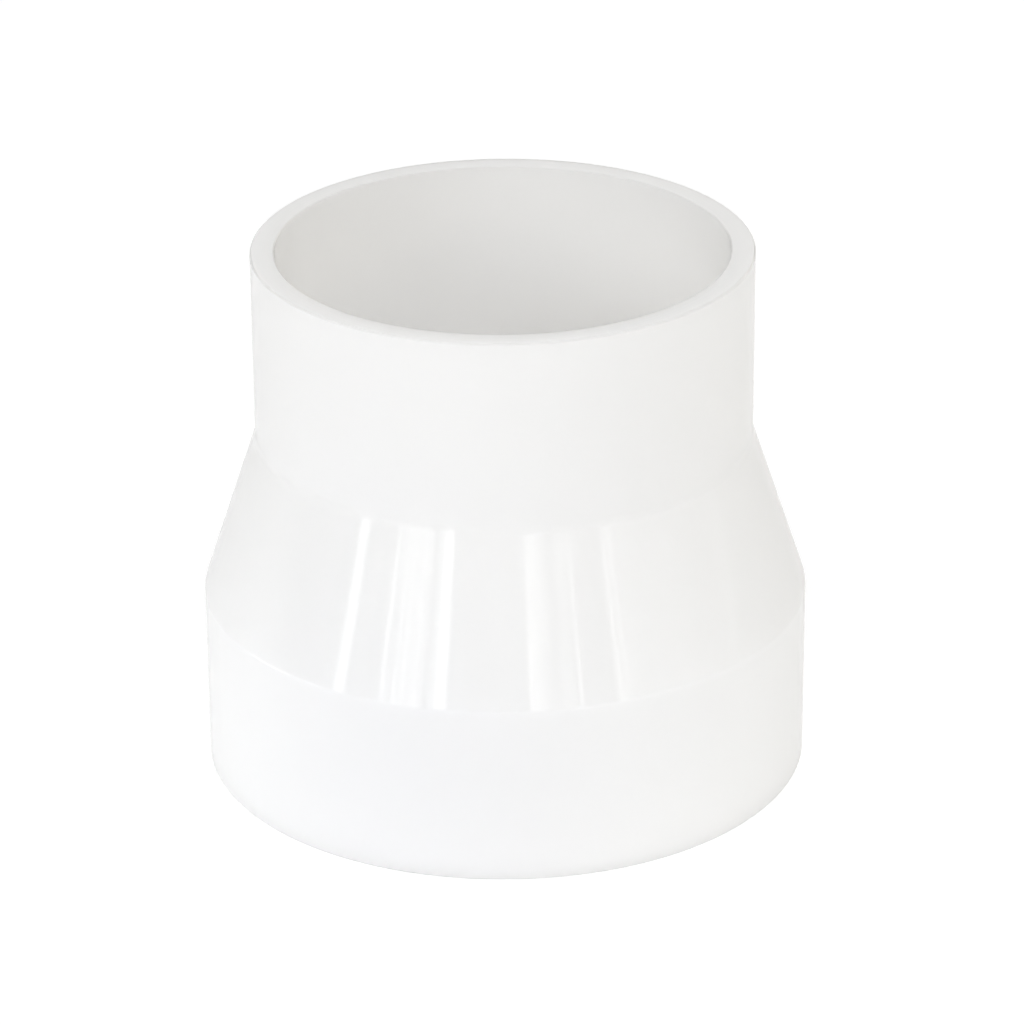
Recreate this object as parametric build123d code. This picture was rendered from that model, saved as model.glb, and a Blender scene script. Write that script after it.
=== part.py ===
"""A concentric pipe reducer, moulded in one piece.

It stands on its large end. The frame's origin is the centre of that end face, and +Z runs up the
axis to the small end. From the foot up it is a plain spigot of the large pipe's size, a cone and a
plain spigot of the small pipe's size. The bore follows the outside at a pipe's wall thickness.
All sizes are in millimetres.
"""
import os
from math import atan2, cos, tan

from build123d import *

# Driving dimensions
LARGE_DIAMETER = 110.0  # outside of the lower spigot, a standard pipe size
SMALL_DIAMETER = 90.0  # outside of the upper spigot, a standard pipe size
LARGE_WALL = 5.3  # wall of the lower spigot
SMALL_WALL = 4.3  # wall of the upper spigot
CONE_WALL = 4.8  # wall of the cone, square to its surface
LARGE_SPIGOT_LENGTH = 33.0  # foot to shoulder
CONE_LENGTH = 30.0  # shoulder to neck, along the axis
SMALL_SPIGOT_LENGTH = 35.0  # neck to upper end face

# Roundings of the section's corners
SHOULDER_RADIUS = 2.0  # outside, where the lower spigot turns into the cone
NECK_RADIUS = 5.0  # outside, where the cone turns into the upper spigot
BORE_SHOULDER_RADIUS = 8.0  # inside, below the cone
BORE_NECK_RADIUS = 8.0  # inside, above the cone

# Chamfers that break the edges of both end faces
OUTER_EDGE_BREAK = 0.3
INNER_EDGE_BREAK = 0.2

# Places worked out from the driving dimensions
LARGE_RADIUS = LARGE_DIAMETER / 2
SMALL_RADIUS = SMALL_DIAMETER / 2
LARGE_BORE_RADIUS = LARGE_RADIUS - LARGE_WALL
SMALL_BORE_RADIUS = SMALL_RADIUS - SMALL_WALL
SHOULDER_HEIGHT = LARGE_SPIGOT_LENGTH
NECK_HEIGHT = SHOULDER_HEIGHT + CONE_LENGTH
RIM_HEIGHT = NECK_HEIGHT + SMALL_SPIGOT_LENGTH
CONE_SLOPE = atan2(LARGE_RADIUS - SMALL_RADIUS, CONE_LENGTH)  # angle from the axis


def bore_cone_height(bore_radius):
    """Height at which the inside of the cone, which is parallel to its outside, has this radius."""
    level_wall = CONE_WALL / cos(CONE_SLOPE)
    return NECK_HEIGHT - (bore_radius + level_wall - SMALL_RADIUS) / tan(CONE_SLOPE)


def wall_section():
    """The wall cut through the axis, anticlockwise from the foot.

    Each corner is its distance from the axis, its height and its rounding, where 0 leaves it sharp.
    """
    corners = [
        (LARGE_RADIUS - OUTER_EDGE_BREAK, 0, 0),
        (LARGE_RADIUS, OUTER_EDGE_BREAK, 0),
        (LARGE_RADIUS, SHOULDER_HEIGHT, SHOULDER_RADIUS),
        (SMALL_RADIUS, NECK_HEIGHT, NECK_RADIUS),
        (SMALL_RADIUS, RIM_HEIGHT - OUTER_EDGE_BREAK, 0),
        (SMALL_RADIUS - OUTER_EDGE_BREAK, RIM_HEIGHT, 0),
        (SMALL_BORE_RADIUS + INNER_EDGE_BREAK, RIM_HEIGHT, 0),
        (SMALL_BORE_RADIUS, RIM_HEIGHT - INNER_EDGE_BREAK, 0),
        (SMALL_BORE_RADIUS, bore_cone_height(SMALL_BORE_RADIUS), BORE_NECK_RADIUS),
        (LARGE_BORE_RADIUS, bore_cone_height(LARGE_BORE_RADIUS), BORE_SHOULDER_RADIUS),
        (LARGE_BORE_RADIUS, INNER_EDGE_BREAK, 0),
        (LARGE_BORE_RADIUS + INNER_EDGE_BREAK, 0, 0),
    ]
    points = [(radius, height) for radius, height, rounding in corners]
    roundings = [rounding for radius, height, rounding in corners]
    outline = FilletPolyline(*points, radius=roundings, close=True)
    return Plane.XZ * make_face(outline)


def reducer_body():
    """The whole fitting: the wall's section turned about the axis."""
    return revolve(wall_section(), Axis.Z)


os.makedirs("parts", exist_ok=True)
body = reducer_body()
body.label = "reducer_body"
export_step(body, "parts/reducer_body.step")
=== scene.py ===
"""Looks of the pipe reducer: milky glossy plastic on a white floor in soft studio light.

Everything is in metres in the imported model's own frame: the origin is the centre of the foot, +Z runs
up the axis and the camera stands on the -Y side. An azimuth of 0 points at the camera, and positive
ones turn to its right.
"""
import math

import bpy
from mathutils import Matrix, Vector

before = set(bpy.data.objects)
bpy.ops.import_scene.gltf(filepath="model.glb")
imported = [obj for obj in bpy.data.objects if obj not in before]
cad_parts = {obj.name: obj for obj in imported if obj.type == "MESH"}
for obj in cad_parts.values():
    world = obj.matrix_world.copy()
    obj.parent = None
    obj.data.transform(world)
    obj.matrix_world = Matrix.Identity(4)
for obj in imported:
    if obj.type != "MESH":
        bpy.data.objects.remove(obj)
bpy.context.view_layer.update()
scene = bpy.context.scene
scene.view_settings.view_transform = "Standard"
scene.cycles.diffuse_bounces = 8  # pale walls that face each other pass light on many times

WHITE = (1.0, 1.0, 1.0)

# The plastic
WARM_WHITE = (0.947, 0.938, 0.920)
COOL_WHITE = (0.942, 0.938, 0.930)
CLOUD_SCALE = 22.0  # clouds of the tint, per metre
CLOUD_DETAIL = 2.0
SCATTER_DEPTH = 0.004  # how far light spreads inside
SCATTER_TINT = (1.0, 1.0, 1.0)
BASE_ROUGHNESS = (0.30, 0.38)
GRAIN_SCALE = 900.0
GRAIN_DETAIL = 3.0
GLOSS_WEIGHT = 0.6
GLOSS_ROUGHNESS = 0.05
GLOSS_IOR = 1.5
RIPPLE_SCALE = 45.0
RIPPLE_DETAIL = 2.0
RIPPLE_DEPTH = 0.00001
FACING_SCALE = 390.0  # rings 0.8 mm apart
FACING_WOBBLE = 0.6
FACING_DEPTH = 0.000004
END_FACE_TILT = 0.9  # faces that point up or down more than this are end faces

# The camera
CAMERA_TARGET = Vector((0.00133, 0.0, 0.04608))
CAMERA_DISTANCE = 0.8777
CAMERA_ELEVATION = math.radians(24.583)
CAMERA_ROLL = math.radians(-0.4206)
SENSOR_WIDTH = 36.0
LENS = 169.21
NEAR_LIMIT = 0.01

# The floor
FLOOR_SIZE = 8.0
FLOOR_DROP = 0.0004  # below the foot, so that the two faces don't coincide
FLOOR_COLOUR = (0.95, 0.95, 0.95, 1.0)
FLOOR_GLOW = 0.8  # share of its own white that the camera and reflections see
FLOOR_WHITE = 1.125  # with the lit share, the open floor comes out just white

# The light
WARM_LIGHT = (1.0, 0.96, 0.87)
SOFT_WARM_LIGHT = (1.0, 0.99, 0.97)
COOL_LIGHT = (0.91, 0.95, 1.0)
BLUE_LIGHT = (0.45, 0.55, 1.0)
LAMP_AIM = Vector((0.0, 0.0, 0.05))  # about the middle of the part
SOFTBOX_DISTANCE = 1.4
LOW_LAMP_DISTANCE = 0.13
LOW_LAMP_HEIGHT = 0.012
LOW_LAMP_SIZE = (0.07, 0.012)
WORLD_STRENGTH = 0.02
STRIP_DISTANCE = 1.3
STRIP_ELEVATIONS = (-2.0, 20.0)  # of a strip's two ends


def add_node(tree, kind, **values):
    """A new shader node. Values name its inputs, with _ for a space, or else its settings."""
    made = tree.nodes.new("ShaderNode" + kind)
    for name, value in values.items():
        socket = made.inputs.get(name.replace("_", " "))
        if socket is None:
            setattr(made, name, value)
        else:
            socket.default_value = value
    return made


def empty_material(name):
    """A material with only an output node, and that node."""
    material = bpy.data.materials.new(name)
    material.use_nodes = True
    material.node_tree.nodes.clear()
    output = material.node_tree.nodes.new("ShaderNodeOutputMaterial")
    return material, output


def reducer_plastic():
    """Unpigmented moulded plastic: light spreads inside it under a smooth gloss."""
    material, output = empty_material("milky_plastic")
    tree = material.node_tree
    link = tree.links.new
    coordinates = add_node(tree, "TexCoord")
    place = coordinates.outputs["Object"]

    cloud = add_node(tree, "TexNoise", Scale=CLOUD_SCALE, Detail=CLOUD_DETAIL)
    link(place, cloud.inputs["Vector"])
    tint = add_node(tree, "Mix", data_type="RGBA")
    tint.inputs["A"].default_value = (*WARM_WHITE, 1.0)
    tint.inputs["B"].default_value = (*COOL_WHITE, 1.0)
    link(cloud.outputs["Fac"], tint.inputs["Factor"])

    grain = add_node(tree, "TexNoise", Scale=GRAIN_SCALE, Detail=GRAIN_DETAIL)
    link(place, grain.inputs["Vector"])
    roughness = add_node(tree, "MapRange", To_Min=BASE_ROUGHNESS[0], To_Max=BASE_ROUGHNESS[1])
    link(grain.outputs["Fac"], roughness.inputs["Value"])

    ripple = add_node(tree, "TexNoise", Scale=RIPPLE_SCALE, Detail=RIPPLE_DETAIL)
    link(place, ripple.inputs["Vector"])
    soft_bump = add_node(tree, "Bump", Distance=RIPPLE_DEPTH)
    link(ripple.outputs["Fac"], soft_bump.inputs["Height"])

    rings = add_node(tree, "TexWave", wave_type="RINGS", rings_direction="Z")
    rings.inputs["Scale"].default_value = FACING_SCALE
    rings.inputs["Distortion"].default_value = FACING_WOBBLE
    link(place, rings.inputs["Vector"])
    facing = add_node(tree, "SeparateXYZ")
    link(coordinates.outputs["Normal"], facing.inputs["Vector"])
    tilt = add_node(tree, "Math", operation="ABSOLUTE")
    link(facing.outputs["Z"], tilt.inputs[0])
    end_face = add_node(tree, "Math", operation="GREATER_THAN")
    end_face.inputs[1].default_value = END_FACE_TILT
    link(tilt.outputs["Value"], end_face.inputs[0])
    marks = add_node(tree, "Math", operation="MULTIPLY")
    link(rings.outputs["Fac"], marks.inputs[0])
    link(end_face.outputs["Value"], marks.inputs[1])
    bump = add_node(tree, "Bump", Distance=FACING_DEPTH)
    link(marks.outputs["Value"], bump.inputs["Height"])
    link(soft_bump.outputs["Normal"], bump.inputs["Normal"])

    shader = add_node(
        tree,
        "BsdfPrincipled",
        Subsurface_Weight=1.0,
        Subsurface_Radius=SCATTER_TINT,
        Subsurface_Scale=SCATTER_DEPTH,
        Specular_IOR_Level=0.0,
        Coat_Weight=GLOSS_WEIGHT,
        Coat_Roughness=GLOSS_ROUGHNESS,
        Coat_IOR=GLOSS_IOR,
    )
    link(tint.outputs["Result"], shader.inputs["Base Color"])
    link(roughness.outputs["Result"], shader.inputs["Roughness"])
    link(bump.outputs["Normal"], shader.inputs["Normal"])
    link(bump.outputs["Normal"], shader.inputs["Coat Normal"])
    link(shader.outputs["BSDF"], output.inputs["Surface"])
    return material


def floor_material():
    """Pale matt floor. The camera and reflections see it mostly as plain white, with a faint shadow."""
    material, output = empty_material("white_floor")
    tree = material.node_tree
    link = tree.links.new
    matt = add_node(tree, "BsdfDiffuse", Color=FLOOR_COLOUR)
    glow = add_node(tree, "Emission", Strength=FLOOR_WHITE)
    rays = add_node(tree, "LightPath")
    seen = add_node(tree, "Math", operation="MAXIMUM")
    link(rays.outputs["Is Camera Ray"], seen.inputs[0])
    link(rays.outputs["Is Glossy Ray"], seen.inputs[1])
    seen_through = add_node(tree, "Math", operation="MAXIMUM")
    link(seen.outputs["Value"], seen_through.inputs[0])
    link(rays.outputs["Is Transmission Ray"], seen_through.inputs[1])
    share = add_node(tree, "Math", operation="MULTIPLY")
    share.inputs[1].default_value = FLOOR_GLOW
    link(seen_through.outputs["Value"], share.inputs[0])
    mix = add_node(tree, "MixShader")
    link(share.outputs["Value"], mix.inputs["Fac"])
    link(matt.outputs["BSDF"], mix.inputs[1])
    link(glow.outputs["Emission"], mix.inputs[2])
    link(mix.outputs["Shader"], output.inputs["Surface"])
    return material


def add_floor():
    half = FLOOR_SIZE / 2
    corners = [(-half, -half, 0), (half, -half, 0), (half, half, 0), (-half, half, 0)]
    mesh = bpy.data.meshes.new("floor")
    mesh.from_pydata(corners, [], [(0, 1, 2, 3)])
    mesh.materials.append(floor_material())
    floor = bpy.data.objects.new("floor", mesh)
    floor.location.z = -FLOOR_DROP
    scene.collection.objects.link(floor)


def add_camera():
    """A long lens that looks down on the part from the -Y side."""
    forward = Vector((0, math.cos(CAMERA_ELEVATION), -math.sin(CAMERA_ELEVATION)))
    level = Vector((1, 0, 0))
    upright = level.cross(forward)
    right = math.cos(CAMERA_ROLL) * level + math.sin(CAMERA_ROLL) * upright
    up = right.cross(forward)
    data = bpy.data.cameras.new("camera")
    data.sensor_width = SENSOR_WIDTH
    data.lens = LENS
    data.clip_start = NEAR_LIMIT
    camera = bpy.data.objects.new("camera", data)
    turn = Matrix((right, up, -forward)).transposed().to_4x4()
    camera.matrix_world = Matrix.Translation(CAMERA_TARGET - CAMERA_DISTANCE * forward) @ turn
    scene.collection.objects.link(camera)
    scene.camera = camera


def add_world():
    world = bpy.data.worlds.new("soft_room")
    world.use_nodes = True
    background = world.node_tree.nodes["Background"]
    background.inputs["Color"].default_value = (*WHITE, 1.0)
    background.inputs["Strength"].default_value = WORLD_STRENGTH
    scene.world = world


def direction(azimuth, elevation):
    """Unit vector from the part, with both angles in degrees."""
    turn, rise = math.radians(azimuth), math.radians(elevation)
    level = math.cos(rise)
    return Vector((math.sin(turn) * level, -math.cos(turn) * level, math.sin(rise)))


def add_lamp(name, place, target, size, power, colour=WHITE):
    """A rectangular lamp at a place, turned to a target. Size is (width, height)."""
    data = bpy.data.lights.new(name, "AREA")
    data.shape = "RECTANGLE"
    data.size, data.size_y = size
    data.energy = power
    data.color = colour
    lamp = bpy.data.objects.new(name, data)
    lamp.location = place
    lamp.rotation_euler = (target - place).to_track_quat("-Z", "Y").to_euler()
    lamp.visible_camera = False
    scene.collection.objects.link(lamp)
    return lamp


def add_softbox(name, azimuth, elevation, size, power, colour):
    """A large lamp that faces the part from the given side."""
    place = LAMP_AIM + SOFTBOX_DISTANCE * direction(azimuth, elevation)
    return add_lamp(name, place, LAMP_AIM, size, power, colour)


def add_low_lamp(name, azimuth, power, colour):
    """A small lamp close to the floor that lights the lower spigot."""
    target = Vector((0.0, 0.0, LOW_LAMP_HEIGHT))
    place = target + LOW_LAMP_DISTANCE * direction(azimuth, 0.0)
    add_lamp(name, place, target, LOW_LAMP_SIZE, power, colour)


def add_strip(name, azimuth, width_angle, brightness):
    """A narrow upright lamp, some degrees wide as the part sees it, that the cone mirrors as a streak."""
    low, high = (STRIP_DISTANCE * math.tan(math.radians(angle)) for angle in STRIP_ELEVATIONS)
    size = (STRIP_DISTANCE * math.radians(width_angle), high - low)
    target = LAMP_AIM + Vector((0, 0, (low + high) / 2))
    place = target + STRIP_DISTANCE * direction(azimuth, 0.0)
    power = brightness * math.pi * size[0] * size[1]
    strip = add_lamp(name, place, target, size, power)
    strip.visible_diffuse = False


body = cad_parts["reducer_body"]
body.data.materials.clear()
body.data.materials.append(reducer_plastic())

add_floor()
add_camera()
add_world()

SOFTBOXES = [
    # name, azimuth, elevation, size, power, colour
    ("front_left", -45, 43, (1.05, 0.62), 4.7, SOFT_WARM_LIGHT),
    ("front", 0, 43, (0.75, 0.62), 3.65, WHITE),
    ("front_right", 45, 43, (1.05, 0.62), 6.1, WHITE),
    ("left", -68, 21, (1.1, 0.44), 4.45, SOFT_WARM_LIGHT),
    ("right", 75, 21, (1.3, 0.44), 3.5, WARM_LIGHT),
    ("back", 180, 20, (1.0, 0.75), 3.7, WHITE),
    ("back_right", 135, 20, (1.0, 0.75), 1.9, WARM_LIGHT),
    ("back_left", -135, 20, (1.0, 0.75), 0.7, WARM_LIGHT),
]
for name, azimuth, elevation, size, power, colour in SOFTBOXES:
    add_softbox(name, azimuth, elevation, size, power, colour)
# A lower one lights the far wall of the bore. It stays out of reflections, where the strips show.
BORE_LIGHT = ("bore_light", -45, 22, (0.8, 0.25), 1.4, COOL_LIGHT)
bore_light = add_softbox(*BORE_LIGHT)
bore_light.visible_glossy = False

LOW_LAMPS = [
    # azimuth, power, colour
    (-74, 0.0097, COOL_LIGHT),
    (-20, 0.0027, BLUE_LIGHT),
    (30, 0.0043, COOL_LIGHT),
    (65, 0.0026, COOL_LIGHT),
]
for number, (azimuth, power, colour) in enumerate(LOW_LAMPS, start=1):
    add_low_lamp(f"low_{number}", azimuth, power, colour)

# Two windows of several panes, a few single bars and a broad one on the right
STRIPS = [
    # azimuth, width angle, brightness
    (-61.5, 4.6, 4.0),
    (-45.2, 1.8, 3.8),
    (-42.8, 1.6, 1.4),
    (-40.4, 2.0, 3.4),
    (-37.6, 2.0, 4.3),
    (-35.2, 1.6, 3.0),
    (-33.0, 1.8, 3.9),
    (-30.8, 1.6, 2.4),
    (-27.0, 1.6, 2.4),
    (-23.5, 4.6, 4.4),
    (9.2, 1.6, 4.0),
    (11.4, 2.0, 3.2),
    (13.8, 2.0, 2.6),
    (16.0, 1.6, 1.2),
    (22.5, 3.6, 1.4),
    (27.0, 1.4, 3.0),
    (41.6, 1.6, 2.1),
    (44.6, 1.6, 2.1),
    (72.0, 70.0, 1.0),
    (69.2, 1.4, 1.5),
]
for number, (azimuth, width_angle, brightness) in enumerate(STRIPS, start=1):
    add_strip(f"strip_{number}", azimuth, width_angle, brightness)
